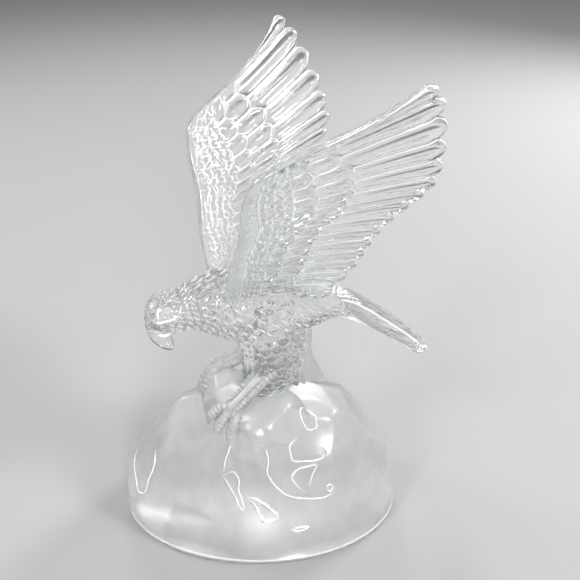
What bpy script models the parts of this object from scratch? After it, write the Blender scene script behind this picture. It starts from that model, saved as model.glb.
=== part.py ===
"""An eagle landing on a rock, cast in one piece of lead crystal.

The bird faces -Y with its left wing at +X. The rock stands on Z = 0 with its centre at the origin.
The rock is given in metres. The bird is carved in bird units: one unit is 1/158 of the height from
the rock's top to the left wing's tips, 1 mm at the real size.
"""
import math

import bmesh
import bpy
from mathutils import Matrix, Vector

# Rock in metres, with the turn of its long side from the X axis
ROCK_LENGTH = 0.1510
ROCK_DEPTH = 0.0925
ROCK_HEIGHT = 0.0840
ROCK_TURN = math.radians(63.5)
RIM_HEIGHT = 0.0030
RIM_STEP = 0.0012
ROCK_COLUMNS = 40
ROCK_ROWS = 11
ROCK_TOP_RISE = math.radians(87)

# Bird in metres, from the rock's top to the left wing's tips
BIRD_HEIGHT = 0.158
HEIGHT_IN_UNITS = 158
UNIT = BIRD_HEIGHT / HEIGHT_IN_UNITS

# Wing: where the pair stands, in bird units, and how it leans out from the bird's middle plane
WING_ROOT_X = 15.8
WING_ROOT_Z = 66.0
WING_LEAN = 0.355
WING_LEAN_GROWTH = 0.00052
WING_SWEEP = 0.152
WING_CAMBER = 2.5
HAND_CUP = 2.5
HAND_SHARE = 0.12
RIGHT_TIP_RAISE = 5.0
RAISED_SHARE = 0.45
FLIGHT_FEATHERS = 15
FEATHER_COLUMNS = 4
EDGE_INSET = 0.0005

# Wing outline in side view: place along the wing from tip to root, then Y and Z in bird units
LEADING_EDGE = [
    (0.00, 8.0, 136.0), (0.12, -4.0, 130.2), (0.22, -13.0, 124.0), (0.34, -16.4, 113.0),
    (0.51, -16.0, 97.0), (0.73, -18.0, 78.0), (1.00, -17.0, 58.0),
]
# Where feathers at each place of the tips have their roots on the leading edge
LEFT_ROOTS = [
    (0.0, 0.0), (0.03, 0.08), (0.1, 0.23), (0.167, 0.32), (0.233, 0.37), (0.3, 0.42), (0.5, 0.56),
    (0.75, 0.78), (1.0, 1.0),
]
RIGHT_ROOTS = [
    (0.0, 0.0), (0.03, 0.10), (0.1, 0.27), (0.167, 0.38), (0.3, 0.52), (0.45, 0.63), (0.6, 0.73),
    (1.0, 1.0),
]
FEATHER_TIPS = [
    (0.00, 42.0, 158.0), (0.10, 50.5, 149.5), (0.233, 59.4, 130.0), (0.367, 62.0, 112.8),
    (0.50, 53.6, 101.4), (0.633, 44.8, 89.7), (0.767, 41.4, 77.2), (0.90, 36.4, 64.5),
    (1.00, 28.0, 51.0),
]
FEATHER_ARCH = [(0.0, -2.4), (0.2, 0.4), (0.5, 3.0), (1.0, 3.0)]
WING_THICKNESS = [(0.0, 1.2), (0.05, 3.0), (0.2, 3.1), (0.57, 2.1), (1.0, 1.0)]
WING_TAPER = [(0.0, 0.6), (0.3, 0.85), (1.0, 1.1)]

# Feather tiers: share of the feather where each ends, its relief, its tip's curve, rows of points and
# how far it is shifted along the wing, in feathers
WING_TIERS = [
    (0.17, 0.8, 0.03, 2, 0.0),
    (0.35, 1.0, 0.04, 2, 0.5),
    (0.58, 1.1, 0.05, 2, 0.0),
    (1.00, 0.9, 0.075, 3, 0.0),
]
TIER_STEP = 0.012
TIER_ROOT_RELIEF = 0.2
TIER_BASE_RELIEF = 0.35

# Body and head: Y and Z of the middle, half height, half width, all in bird units from beak to tail
BODY_SECTIONS = [
    (-50.8, 56.5, 3.5, 2.2), (-49.8, 56.3, 6.4, 4.2), (-46.5, 55.4, 8.2, 5.8), (-41.0, 54.4, 8.9, 7.2),
    (-34.0, 54.1, 9.6, 8.0), (-27.0, 54.5, 12.0, 9.6), (-18.0, 53.2, 15.6, 12.6),
    (-8.0, 50.6, 18.2, 15.2), (4.0, 47.4, 19.2, 16.4), (16.0, 44.0, 17.6, 15.6),
    (28.0, 41.2, 13.4, 13.0), (38.0, 38.6, 9.4, 10.2), (46.0, 35.2, 6.6, 7.6), (52.0, 31.5, 4.0, 5.0),
]
BODY_COLUMNS = 18
BODY_SCALE_ROWS = 12
BODY_SCALE_DEPTH = 1.4
SMOOTH_FACE_SHARE = 0.16
SCALE_FADE = 0.1
HEADING_STEP = 0.01

# Small feathers of the body and thighs: relief of the thighs' rows, then as shares of one row the
# curve of each tip and the step to the next row, and how much lower the tips' sides lie
THIGH_SCALE_DEPTH = 1.2
SCALE_CURVE = 0.35
SCALE_STEP = 0.08
SCALE_GROOVE = 0.7

# Hooked beak: the same four values along the curve from inside the head to the tip
BEAK_SECTIONS = [
    (-43.8, 54.5, 6.8, 4.6), (-46.2, 50.0, 5.6, 4.2), (-45.6, 44.0, 4.7, 3.4),
    (-43.6, 39.0, 3.5, 2.4), (-41.7, 35.8, 2.0, 1.3), (-41.0, 34.7, 0.8, 0.6),
]

# Brow over the left eye: X, Y, Z and radius; then the eye's middle and radius
BROW = [
    (4.6, -47.0, 58.6, 0.8), (6.2, -43.5, 60.2, 1.4), (7.0, -39.0, 60.6, 1.3), (7.0, -35.0, 60.0, 0.7),
]
EYE_PLACE = (6.4, -42.0, 57.6)
EYE_RADIUS = 1.7

# Thighs and belly: X, Y, Z, half depth and half width, from the hip down to the rock
LEFT_THIGH = [
    (5.0, 10.0, 44.5, 13.0, 9.0), (8.0, 9.5, 30.5, 13.0, 8.0), (10.0, 8.0, 18.0, 12.0, 7.0),
    (10.5, 5.5, 8.0, 11.0, 6.0), (10.5, 3.5, 0.5, 9.0, 4.6),
]
RIGHT_THIGH = [
    (-5.2, 10.3, 46.8, 12.6, 8.8), (-8.0, 9.0, 30.0, 12.5, 8.0), (-10.0, 6.5, 20.0, 10.5, 7.0),
    (-10.5, 3.5, 12.0, 8.5, 5.6), (-10.5, 1.5, 6.0, 6.5, 4.4),
]
BELLY = [
    (0.0, 10.4, 40.0, 18.6, 12.8), (0.0, 11.0, 28.0, 18.5, 12.0), (0.0, 11.5, 15.0, 17.5, 12.0),
    (0.0, 11.5, 3.0, 18.5, 13.0), (0.0, 11.5, -8.0, 21.0, 15.0),
]

# Legs and toes: X, Y, Z and radius along each, in bird units
LEFT_LEG = [
    (11.0, 4.0, 15.0, 4.6), (12.0, -5.0, 9.5, 4.6), (12.2, -13.0, 2.5, 4.6), (11.8, -19.0, -2.8, 4.2),
]
RIGHT_LEG = [
    (-9.0, 3.5, 15.5, 4.4), (-10.0, -2.5, 11.0, 4.0), (-10.6, -9.5, 8.6, 4.1), (-10.6, -18.0, 6.2, 4.0),
]
LEFT_TOES = [
    [(11.6, -15.5, 0.6, 3.0), (7.4, -22.6, -2.0, 2.5), (5.8, -27.4, -6.5, 2.2), (5.6, -28.8, -12.0, 0.7)],
    [(12.0, -16.5, -0.4, 2.9), (12.2, -22.8, -5.0, 2.5), (12.2, -26.2, -10.0, 2.2),
     (12.0, -27.0, -15.5, 0.7)],
    [(12.6, -15.5, -1.6, 2.8), (16.8, -19.8, -6.8, 2.4), (18.2, -22.4, -12.0, 2.1),
     (18.6, -23.2, -18.0, 0.7)],
]
RIGHT_TOES = [
    [(-10.5, -14.0, 9.0, 2.8), (-7.0, -20.3, 7.2, 2.4), (-5.8, -25.6, 2.0, 2.1), (-5.4, -27.2, -5.5, 0.7)],
    [(-10.8, -14.5, 8.4, 2.8), (-10.9, -21.4, 5.4, 2.5), (-10.8, -26.0, -0.8, 2.2),
     (-10.6, -27.2, -8.0, 0.7)],
    [(-11.4, -13.5, 7.4, 2.7), (-15.4, -18.8, 3.0, 2.3), (-17.0, -22.0, -4.6, 2.0),
     (-17.4, -22.8, -12.0, 0.7)],
]
TOE_SIDES = 6
BEAD_SWELL = 1.14

# Rock stump in the talons: X, Y, Z of the middle and the three half sizes, in bird units
STUMP = (0.0, -16.0, -6.0, 12.4, 13.0, 18.0)

# Tail fan: place along it, then Y and Z of its middle, half width, droop of its sides, half thickness
TAIL_LINE = [
    (0.00, 34.0, 40.0, 7.0, 0.5, 4.5), (0.25, 48.0, 35.8, 10.0, 1.0, 3.6),
    (0.60, 69.5, 20.6, 15.8, 1.5, 2.6), (0.85, 87.0, 6.4, 20.4, 2.0, 1.8),
    (1.00, 98.0, -3.0, 22.6, 2.4, 1.3),
]
TAIL_FEATHERS = 5
TAIL_COLUMNS = 4
TAIL_STEPS = (0.0, 0.25, 0.5, 0.75, 0.92, 1.0)
TAIL_RELIEF = 1.1
TAIL_SHORTENING = 0.11
TAIL_NOTCH = 0.09

# Rock's mean curve in metres, its full shoulder, and one rise: turn, rise in degrees, spread, height
ROCK_ROUNDNESS = 0.075
ROCK_SHOULDER = 0.045
ROCK_RISES = [(28, 68, 0.40, 0.0085)]

# Scoops struck in the front of the rock: turn and rise in degrees, radius and hollow in metres
ROCK_SCOOPS = [
    (-153, 28, 0.017, 0.0010), (-134, 18, 0.021, 0.0008), (-121, 38, 0.025, 0.0011),
    (-141, 55, 0.022, 0.0009), (-166, 48, 0.019, 0.0008), (-99, 22, 0.024, 0.0011),
    (-114, 8, 0.022, 0.0006), (-66, 37, 0.026, 0.0022), (-58, 54, 0.017, 0.0014),
    (-38, 64, 0.016, 0.0009), (-30, 22, 0.022, 0.0009), (6, 40, 0.023, 0.0009),
    (-36, 42, 0.020, 0.0012), (-60, 12, 0.024, 0.0008), (-94, 48, 0.016, 0.0010),
    (-12, 56, 0.018, 0.0007),
]
DEEPEST_SHARE = 0.8

# Scoops round the back: first turn, span, rows of rise, radius and hollow with their small changes
BACK_SCOOP_COUNT = 11
BACK_TURN = 32
BACK_SPAN = 150
BACK_RISES = (18, 40, 62)
BACK_RADII = (0.022, 0.024, 0.026, 0.028)
BACK_HOLLOWS = (0.0008, 0.0010)


def knot_value(knots, place):
    """Smooth values at a place between knots, each a place followed by its values."""
    if place <= knots[0][0]:
        return Vector(knots[0][1:])
    if place >= knots[-1][0]:
        return Vector(knots[-1][1:])
    index = max(i for i in range(len(knots) - 1) if knots[i][0] <= place)
    start, end = knots[index], knots[index + 1]
    gap = end[0] - start[0]
    share = (place - start[0]) / gap
    first, last = Vector(start[1:]), Vector(end[1:])

    def slope(i):
        low, high = max(i - 1, 0), min(i + 1, len(knots) - 1)
        return (Vector(knots[high][1:]) - Vector(knots[low][1:])) / (knots[high][0] - knots[low][0])

    leave, arrive = slope(index) * gap, slope(index + 1) * gap
    s2, s3 = share ** 2, share ** 3
    return (first * (2 * s3 - 3 * s2 + 1) + leave * (s3 - 2 * s2 + share)
            + last * (3 * s2 - 2 * s3) + arrive * (s3 - s2))


def even_knots(points):
    """Give a list of points even places from 0 to 1."""
    return [(i / (len(points) - 1), *point) for i, point in enumerate(points)]


def knot_number(knots, place):
    """Straight-line value at a place between pairs of place and number."""
    for (p0, v0), (p1, v1) in zip(knots, knots[1:]):
        if place <= p1:
            return v0 + (v1 - v0) * max(0.0, (place - p0) / (p1 - p0))
    return knots[-1][1]


def from_bird(x, y, z):
    """A point in bird units above the rock's top, in metres."""
    return Vector((x * UNIT, y * UNIT, ROCK_HEIGHT + z * UNIT))


def new_object(name, vertices, faces, material):
    """Make a closed mesh object of triangles with its faces pointing out."""
    mesh = bpy.data.meshes.new(name)
    mesh.from_pydata(vertices, [], faces)
    shape = bmesh.new()
    shape.from_mesh(mesh)
    bmesh.ops.remove_doubles(shape, verts=shape.verts, dist=1e-6)
    bmesh.ops.triangulate(shape, faces=shape.faces)
    bmesh.ops.recalc_face_normals(shape, faces=shape.faces)
    shape.to_mesh(mesh)
    shape.free()
    mesh.materials.append(material)
    piece = bpy.data.objects.new(name, mesh)
    bpy.context.collection.objects.link(piece)
    return piece


def loft(name, rings, material):
    """Close a row of equal rings into a solid, with a point in the middle of each end."""
    sides = len(rings[0])
    vertices = [point for ring in rings for point in ring]
    faces = []
    for row in range(len(rings) - 1):
        for side in range(sides):
            a = row * sides + side
            b = row * sides + (side + 1) % sides
            faces.append((a, b, b + sides, a + sides))
    for row in (0, len(rings) - 1):
        middle = sum(rings[row], Vector()) / sides
        vertices.append(middle)
        centre = len(vertices) - 1
        for side in range(sides):
            faces.append((row * sides + side, row * sides + (side + 1) % sides, centre))
    return new_object(name, vertices, faces, material)


def sheet(name, front, back, material):
    """Close two grids of points, front and back, into a solid sheet."""
    columns, rows = len(front), len(front[0])
    vertices = [point for column in front for point in column]
    vertices += [point for column in back for point in column]
    offset = columns * rows

    def at(column, row, side):
        return side * offset + column * rows + row

    faces = []
    for i in range(columns - 1):
        for j in range(rows - 1):
            for side in (0, 1):
                faces.append((at(i, j, side), at(i + 1, j, side),
                              at(i + 1, j + 1, side), at(i, j + 1, side)))
    for i in range(columns - 1):
        for j in (0, rows - 1):
            faces.append((at(i, j, 0), at(i + 1, j, 0), at(i + 1, j, 1), at(i, j, 1)))
    for j in range(rows - 1):
        for i in (0, columns - 1):
            faces.append((at(i, j, 0), at(i, j + 1, 0), at(i, j + 1, 1), at(i, j, 1)))
    return new_object(name, vertices, faces, material)


def feather_swell(across):
    """Height across one feather, -1 to 1: grooves at its edges, raised rims, a shallow flute."""
    rim = math.sin(math.pi * across / 1.3) ** 2
    return (1 - across ** 6) * (0.5 + 0.5 * rim)


def feather_across(place, count, shift=0.0):
    """Place across the feather that holds this place along the wing, from -1 to 1."""
    number = place * count + shift
    return 2 * (number - math.floor(number)) - 1


def wing_middle(place, along, roots, tip_raise):
    """Point on the left wing's middle sheet in bird units, from leading edge to feather tip."""
    root = knot_value(LEADING_EDGE, knot_number(roots, place))
    tip = knot_value(FEATHER_TIPS, place)
    tip.y += tip_raise * math.exp(-(place / RAISED_SHARE) ** 2)
    chord = tip - root
    side = Vector((-chord.y, chord.x)).normalized()
    arch = knot_number(FEATHER_ARCH, place)
    flat = root + chord * along + side * arch * 4 * along * (1 - along)
    rise = flat.y - WING_ROOT_Z
    lean = WING_ROOT_X + WING_LEAN * rise + WING_LEAN_GROWTH * rise * rise + WING_SWEEP * flat.x
    camber = WING_CAMBER * math.sin(math.pi * min(along, 1.0))
    cup = HAND_CUP * math.exp(-(place / HAND_SHARE) ** 2) * math.sin(math.pi * min(along, 1.0))
    return Vector((lean - camber + cup, flat.x, flat.y))


def wing_rows(place):
    """Rows down one column of the wing: place along the feather and its relief, in bird units."""
    rows = []
    start = 0.0
    for end, relief, curve, count, shift in WING_TIERS:
        across = feather_across(place, FLIGHT_FEATHERS, shift)
        tip = end - curve * across ** 2
        for row in range(count):
            share = row / (count - 1)
            lift = TIER_BASE_RELIEF + (1 - TIER_BASE_RELIEF) * share if row else TIER_ROOT_RELIEF
            rows.append((start + (tip - start) * share, relief * lift * feather_swell(across)))
        start = tip + TIER_STEP
    return rows


def make_wing(name, hand, material):
    """One raised wing; hand is 1 for the left wing and -1 for the right."""
    normal = Vector((1.0, -WING_SWEEP, -WING_LEAN)).normalized()
    roots = LEFT_ROOTS if hand > 0 else RIGHT_ROOTS
    tip_raise = RIGHT_TIP_RAISE if hand < 0 else 0.0
    columns = FLIGHT_FEATHERS * FEATHER_COLUMNS
    front, back = [], []
    for column in range(columns + 1):
        place = min(max(column / columns, EDGE_INSET), 1 - EDGE_INSET)
        front_line, back_line = [], []
        for along, relief in wing_rows(place):
            middle = wing_middle(place, along, roots, tip_raise)
            half = knot_number(WING_THICKNESS, along) * knot_number(WING_TAPER, place)
            outer = middle + normal * (half + relief)
            inner = middle - normal * (half + relief)
            front_line.append(from_bird(hand * outer.x, outer.y, outer.z))
            back_line.append(from_bird(hand * inner.x, inner.y, inner.z))
        front.append(front_line)
        back.append(back_line)
    return sheet(name, front, back, material)


def scaled_loft(name, point_at, rows, sides, depth, material):
    """Loft a form coated with rows of small feathers; point_at takes share, side's turn and swell."""
    turns = [2 * math.pi * (side + 0.5) / sides for side in range(sides)]
    rings = [[point_at(0.0, turn, 0.0) for turn in turns]]
    for row in range(rows):
        start_ring, tip_ring = [], []
        for side, turn in enumerate(turns):
            groove = (side + row) % 2
            start = (row - SCALE_CURVE * (1 - groove) * (row > 0) + SCALE_STEP) / rows
            tip = (row + 1 - SCALE_CURVE * groove) / rows
            start_ring.append(point_at(start, turn, 0.0))
            tip_ring.append(point_at(tip, turn, depth * (1 - SCALE_GROOVE * groove)))
        rings += [start_ring, tip_ring]
    return loft(name, rings, material)


def spine_point(knots, smooth_share, share, turn, swell):
    """A point round the bird's middle line, smooth up to smooth_share."""
    y, z, half_height, half_width = knot_value(knots, share)
    ahead = knot_value(knots, min(share + HEADING_STEP, 1.0))
    behind = knot_value(knots, max(share - HEADING_STEP, 0.0))
    heading = Vector((ahead[0] - behind[0], ahead[1] - behind[1])).normalized()
    grow = swell * min(1.0, max(0.0, (share - smooth_share) / SCALE_FADE))
    lift = math.cos(turn) * (half_height + grow)
    return from_bird(math.sin(turn) * (half_width + grow), y - heading.y * lift, z + heading.x * lift)


def spine_loft(name, sections, rows, sides, depth, smooth_share, material):
    """Loft sections along a line in the bird's middle plane, feathered past smooth_share."""
    knots = even_knots(sections)
    return scaled_loft(name, lambda *place: spine_point(knots, smooth_share, *place),
                       rows, sides, depth, material)


def down_point(knots, share, turn, swell):
    """A point of a level ring down a thigh or the belly."""
    x, y, z, half_depth, half_width = knot_value(knots, share)
    return from_bird(x + math.sin(turn) * (half_width + swell),
                     y + math.cos(turn) * (half_depth + swell), z)


def down_loft(name, sections, rows, sides, depth, material):
    """Loft level rings down a thigh or the belly, coated with small feathers."""
    knots = even_knots(sections)
    return scaled_loft(name, lambda *place: down_point(knots, *place), rows, sides, depth, material)


def limb(name, sections, rows, sides, beads, material):
    """A round limb through X, Y, Z and radius, ringed with shallow beads."""
    knots = even_knots(sections)
    rings = []
    for row in range(rows + 1):
        share = row / rows
        x, y, z, radius = knot_value(knots, share)
        ahead = knot_value(knots, min(share + HEADING_STEP, 1.0)).xyz
        behind = knot_value(knots, max(share - HEADING_STEP, 0.0)).xyz
        heading = (ahead - behind).normalized()
        across = heading.cross(Vector((0.0, 0.0, 1.0))).normalized()
        over = across.cross(heading)
        if beads and row % 2 == 1 and row < rows:
            radius *= BEAD_SWELL
        ring = []
        for side in range(sides):
            turn = 2 * math.pi * side / sides
            point = Vector((x, y, z)) + (across * math.cos(turn) + over * math.sin(turn)) * radius
            ring.append(from_bird(*point))
        rings.append(ring)
    return loft(name, rings, material)


def lump(name, shape, sides, rows, material):
    """An egg-shaped solid given by its middle and half sizes in bird units."""
    x, y, z, half_x, half_y, half_z = shape
    rings = []
    for row in range(1, rows):
        rise = math.pi * (row / rows - 0.5)
        ring = []
        for side in range(sides):
            turn = 2 * math.pi * side / sides
            level = math.cos(rise)
            ring.append(from_bird(x + half_x * level * math.cos(turn), y + half_y * level * math.sin(turn),
                                  z + half_z * math.sin(rise)))
        rings.append(ring)
    return loft(name, rings, material)


def dome_point(turn, rise):
    """Point on the rock's plain dome, in metres, before it is turned."""
    level = math.cos(rise)
    return Vector((ROCK_LENGTH / 2 * level * math.cos(turn), ROCK_DEPTH / 2 * level * math.sin(turn),
                   ROCK_HEIGHT * math.sin(rise)))


def dome_normal(point):
    """Outward direction of the plain dome at a point on it."""
    return Vector((4 * point.x / ROCK_LENGTH ** 2, 4 * point.y / ROCK_DEPTH ** 2,
                   point.z / ROCK_HEIGHT ** 2)).normalized()


def all_scoops():
    """Centre and radius of the ball that strikes each scoop, front ones first, then round the back."""
    scoops = list(ROCK_SCOOPS)
    for number in range(BACK_SCOOP_COUNT):
        turn = BACK_TURN + number * BACK_SPAN / BACK_SCOOP_COUNT
        rise = BACK_RISES[number % len(BACK_RISES)]
        radius = BACK_RADII[number % len(BACK_RADII)]
        scoops.append((turn, rise, radius, BACK_HOLLOWS[number % len(BACK_HOLLOWS)]))
    balls = []
    for turn, rise, radius, hollow in scoops:
        ball = radius ** 2 / (2 * hollow)
        depth = hollow + radius ** 2 / (2 * ROCK_ROUNDNESS)
        point = raised(math.radians(turn), math.radians(rise))
        balls.append((point + dome_normal(point) * (ball - depth), ball))
    return balls


def raised(turn, rise):
    """A point of the dome with its full shoulder and the rock's rises added."""
    point = dome_point(turn, rise) * (1 + ROCK_SHOULDER * math.sin(2 * rise) ** 2)
    here = Vector((math.cos(rise) * math.cos(turn), math.cos(rise) * math.sin(turn), math.sin(rise)))
    for at_turn, at_rise, spread, height in ROCK_RISES:
        a, b = math.radians(at_turn), math.radians(at_rise)
        there = Vector((math.cos(b) * math.cos(a), math.cos(b) * math.sin(a), math.sin(b)))
        point *= 1 + height / point.length * math.exp(-(here.angle(there) / spread) ** 2)
    return point


def struck_share(point, balls):
    """How far out along the line from the rock's heart its struck surface lies, as a share."""
    share = 1.0
    for centre, ball in balls:
        reach = point.dot(centre)
        inside = reach ** 2 - point.length_squared * (centre.length_squared - ball ** 2)
        if reach > 0 and inside > 0:
            share = min(share, max((reach - math.sqrt(inside)) / point.length_squared, DEEPEST_SHARE))
    return share


def make_rock(material):
    """The struck dome with its plain rim, standing flat on Z = 0."""
    balls = all_scoops()
    turned = Matrix.Rotation(ROCK_TURN, 3, "Z")
    rings = []
    for lift in (0.0, RIM_HEIGHT):
        ring = []
        for side in range(ROCK_COLUMNS):
            point = dome_point(2 * math.pi * side / ROCK_COLUMNS, 0.0)
            shrink = 1 - RIM_STEP / point.length * (lift == 0.0)
            ring.append(turned @ Vector((point.x * shrink, point.y * shrink, lift)))
        rings.append(ring)
    lowest = math.asin(2 * RIM_HEIGHT / ROCK_HEIGHT)
    for row in range(ROCK_ROWS):
        rise = lowest + (ROCK_TOP_RISE - lowest) * row / (ROCK_ROWS - 1)
        ring = []
        for side in range(ROCK_COLUMNS):
            point = raised(2 * math.pi * side / ROCK_COLUMNS, rise)
            ring.append(turned @ (point * struck_share(point, balls)))
        rings.append(ring)
    return loft("eagle_figurine", rings, material)


def tail_point(across, along, side, relief):
    """Point of the tail fan; across runs from -1 to 1, side is 1 on top and -1 below."""
    y, z, half_width, droop, half = knot_value(TAIL_LINE, along)
    ahead = knot_value(TAIL_LINE, min(along + HEADING_STEP, 1.0))
    behind = knot_value(TAIL_LINE, max(along - HEADING_STEP, 0.0))
    heading = Vector((0.0, ahead[0] - behind[0], ahead[1] - behind[1])).normalized()
    up = Vector((0.0, -heading.z, heading.y))
    lift = side * (half + relief) - droop * across ** 2
    return from_bird(*(Vector((across * half_width, y, z)) + up * lift))


def make_tail(material):
    """The tail, a fan of long fluted feathers with rounded ends."""
    columns = TAIL_FEATHERS * TAIL_COLUMNS
    front, back = [], []
    for column in range(columns + 1):
        place = min(max(column / columns, EDGE_INSET), 1 - EDGE_INSET)
        across = 2 * place - 1
        feather = feather_across(place, TAIL_FEATHERS)
        length = 1 - TAIL_SHORTENING * across ** 2 - TAIL_NOTCH * feather ** 4
        front_line, back_line = [], []
        for step in TAIL_STEPS:
            relief = TAIL_RELIEF * feather_swell(feather) * min(1.0, step * 3)
            front_line.append(tail_point(across, step * length, 1, relief))
            back_line.append(tail_point(across, step * length, -1, relief))
        front.append(front_line)
        back.append(back_line)
    return sheet("tail", front, back, material)


def glass_material(name, roughness, colour):
    """Clear or satin glass."""
    material = bpy.data.materials.new(name)
    material.use_nodes = True
    shader = material.node_tree.nodes["Principled BSDF"]
    shader.inputs["Base Color"].default_value = colour
    shader.inputs["Metallic"].default_value = 0.0
    shader.inputs["Roughness"].default_value = roughness
    shader.inputs["Transmission Weight"].default_value = 1.0
    shader.inputs["IOR"].default_value = 1.52
    return material


def fuse(main, pieces):
    """Join the pieces to the main object, as one casting."""
    for piece in pieces:
        piece.hide_render = True
        piece.display_type = "WIRE"
        union = main.modifiers.new("join_" + piece.name, "BOOLEAN")
        union.operation = "UNION"
        union.solver = "EXACT"
        union.object = piece


def main():
    for old in list(bpy.data.objects):
        bpy.data.objects.remove(old, do_unlink=True)
    satin = glass_material("satin_crystal", 0.5, (0.93, 0.94, 0.94, 1.0))
    clear = glass_material("clear_crystal", 0.02, (0.97, 0.98, 0.98, 1.0))
    rock = make_rock(satin)
    rock.data.materials.append(clear)
    pieces = [
        lump("stump", STUMP, 13, 7, satin),
        down_loft("belly", BELLY, 2, 12, 0.0, clear),
        down_loft("left_thigh", LEFT_THIGH, 6, 14, THIGH_SCALE_DEPTH, clear),
        down_loft("right_thigh", RIGHT_THIGH, 5, 14, THIGH_SCALE_DEPTH, clear),
        spine_loft("body", BODY_SECTIONS, BODY_SCALE_ROWS, BODY_COLUMNS, BODY_SCALE_DEPTH,
                   SMOOTH_FACE_SHARE, clear),
        spine_loft("beak", BEAK_SECTIONS, 4, 12, 0.0, 1.0, clear),
        make_tail(clear),
        make_wing("left_wing", 1, clear),
        make_wing("right_wing", -1, clear),
        limb("left_leg", LEFT_LEG, 5, 8, False, clear),
        limb("right_leg", RIGHT_LEG, 5, 8, False, clear),
    ]
    for side, toes in (("left", LEFT_TOES), ("right", RIGHT_TOES)):
        for number, toe in enumerate(toes):
            pieces.append(limb(f"{side}_toe_{number + 1}", toe, 6, TOE_SIDES, True, clear))
    for hand in (-1, 1):
        x, y, z = EYE_PLACE
        eye = (hand * x, y, z, EYE_RADIUS, EYE_RADIUS, EYE_RADIUS)
        pieces.append(lump(f"eye_{hand + 1}", eye, 8, 6, clear))
        brow = [(hand * bx, by, bz, radius) for bx, by, bz, radius in BROW]
        pieces.append(limb(f"brow_{hand + 1}", brow, 4, 6, False, clear))
    fuse(rock, pieces)


main()
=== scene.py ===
"""Looks of the glass eagle: the casting's fine relief, its clear and satin glass, and a plain studio."""
import math
from functools import partial

import bmesh
import bpy
import numpy as np
from mathutils import Matrix, Vector


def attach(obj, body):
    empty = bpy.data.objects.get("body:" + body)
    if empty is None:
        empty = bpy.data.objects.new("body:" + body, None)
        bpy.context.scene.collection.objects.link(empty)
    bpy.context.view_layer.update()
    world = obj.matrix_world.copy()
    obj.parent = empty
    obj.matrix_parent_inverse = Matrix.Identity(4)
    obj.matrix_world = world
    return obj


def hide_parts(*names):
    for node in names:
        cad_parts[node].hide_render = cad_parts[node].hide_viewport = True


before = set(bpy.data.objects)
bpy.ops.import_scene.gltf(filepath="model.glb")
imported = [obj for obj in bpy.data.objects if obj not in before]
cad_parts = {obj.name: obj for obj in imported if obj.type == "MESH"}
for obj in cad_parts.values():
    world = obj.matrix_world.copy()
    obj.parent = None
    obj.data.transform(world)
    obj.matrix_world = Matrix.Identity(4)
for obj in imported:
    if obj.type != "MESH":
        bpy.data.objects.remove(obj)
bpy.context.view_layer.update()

# Rock: size in metres, turn of its long side from the X axis, columns and rows of points, rise of the
# topmost row, radius in metres that its face is curved to, and how full its shoulder is
ROCK_LENGTH = 0.151
ROCK_DEPTH = 0.0925
ROCK_HEIGHT = 0.084
ROCK_TURN = math.radians(63.5)
ROCK_COLUMNS = 216
ROCK_ROWS = 77
ROCK_TOP_RISE = math.radians(87)
ROCK_ROUNDNESS = 0.075
ROCK_SHOULDER = 0.045

# Rim: height over the floor and how far it is drawn in there, up to the ledge where the dome starts
RIM_HEIGHT = 0.003
RIM_LEDGE = 0.0005
RIM_PROFILE = (
    (0.0, 0.0012), (0.0006, 0.00054), (0.0014, 0.000144), (RIM_HEIGHT, 0.00002),
    (RIM_HEIGHT + RIM_LEDGE, RIM_LEDGE),
)

# Broad rises of the dome: turn and rise in degrees, spread in radians, height in metres
ROCK_RISES = [(28, 68, 0.4, 0.0085)]

# Scoops struck in the front of the rock: turn and rise in degrees, radius and hollow in metres; then how
# soft their edges are, the least share of the rock that one leaves, and the scoops round the back
ROCK_SCOOPS = [
    (-153, 28, 0.017, 0.001), (-134, 18, 0.021, 0.0008), (-121, 38, 0.025, 0.0011),
    (-141, 55, 0.022, 0.0009), (-166, 48, 0.019, 0.0008), (-99, 22, 0.024, 0.0011),
    (-114, 8, 0.022, 0.0006), (-66, 37, 0.026, 0.0022), (-58, 54, 0.017, 0.0014),
    (-38, 64, 0.016, 0.0009), (-30, 22, 0.022, 0.0009), (6, 40, 0.023, 0.0009), (-36, 42, 0.02, 0.0012),
    (-60, 12, 0.024, 0.0008), (-94, 48, 0.016, 0.001), (-12, 56, 0.018, 0.0007),
]
SCOOP_SOFTNESS = 0.0008
DEEPEST_SHARE = 0.8
BACK_SCOOP_COUNT = 11
BACK_TURN = 32
BACK_SPAN = 150
BACK_RISES = (18, 40, 62)
BACK_RADII = (0.022, 0.024, 0.026, 0.028)
BACK_HOLLOWS = (0.0008, 0.001)

# Small chips struck inside the scoops: turn, rise, radius and hollow; then more chips all round
ROCK_CHIPS = [
    (-44, 61, 0.0075, 0.0008), (-58, 50, 0.01, 0.001), (-63, 37, 0.0085, 0.0009),
    (-100, 36, 0.008, 0.0008), (-87, 25, 0.0085, 0.0008), (-134, 36, 0.012, 0.0008),
    (-120, 26, 0.011, 0.0008), (-38, 38, 0.012, 0.001), (-28, 24, 0.011, 0.0008),
    (-158, 20, 0.008, 0.0009), (-150, 32, 0.007, 0.0009), (-104, 47, 0.011, 0.0008),
    (-74, 14, 0.012, 0.0007), (-118, 12, 0.011, 0.0007), (-46, 12, 0.011, 0.0007),
]
MORE_CHIPS = 40
CHIP_FIRST_TURN = 20
GOLDEN_TURN = 137.508
GOLDEN_SHARE = 0.618
CHIP_LOWEST = 12
CHIP_SPAN = 56
CHIP_RADII = (0.0085, 0.0115, 0.014)
CHIP_HOLLOW = 0.0009
CHIP_ROUNDNESS = 0.06

# Low bulges with clear edges: turn and rise in degrees, spread in radians, height in metres
ROCK_LOBES = [(-74, 66, 0.24, 0.0034), (-96, 53, 0.13, 0.0026)]

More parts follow.
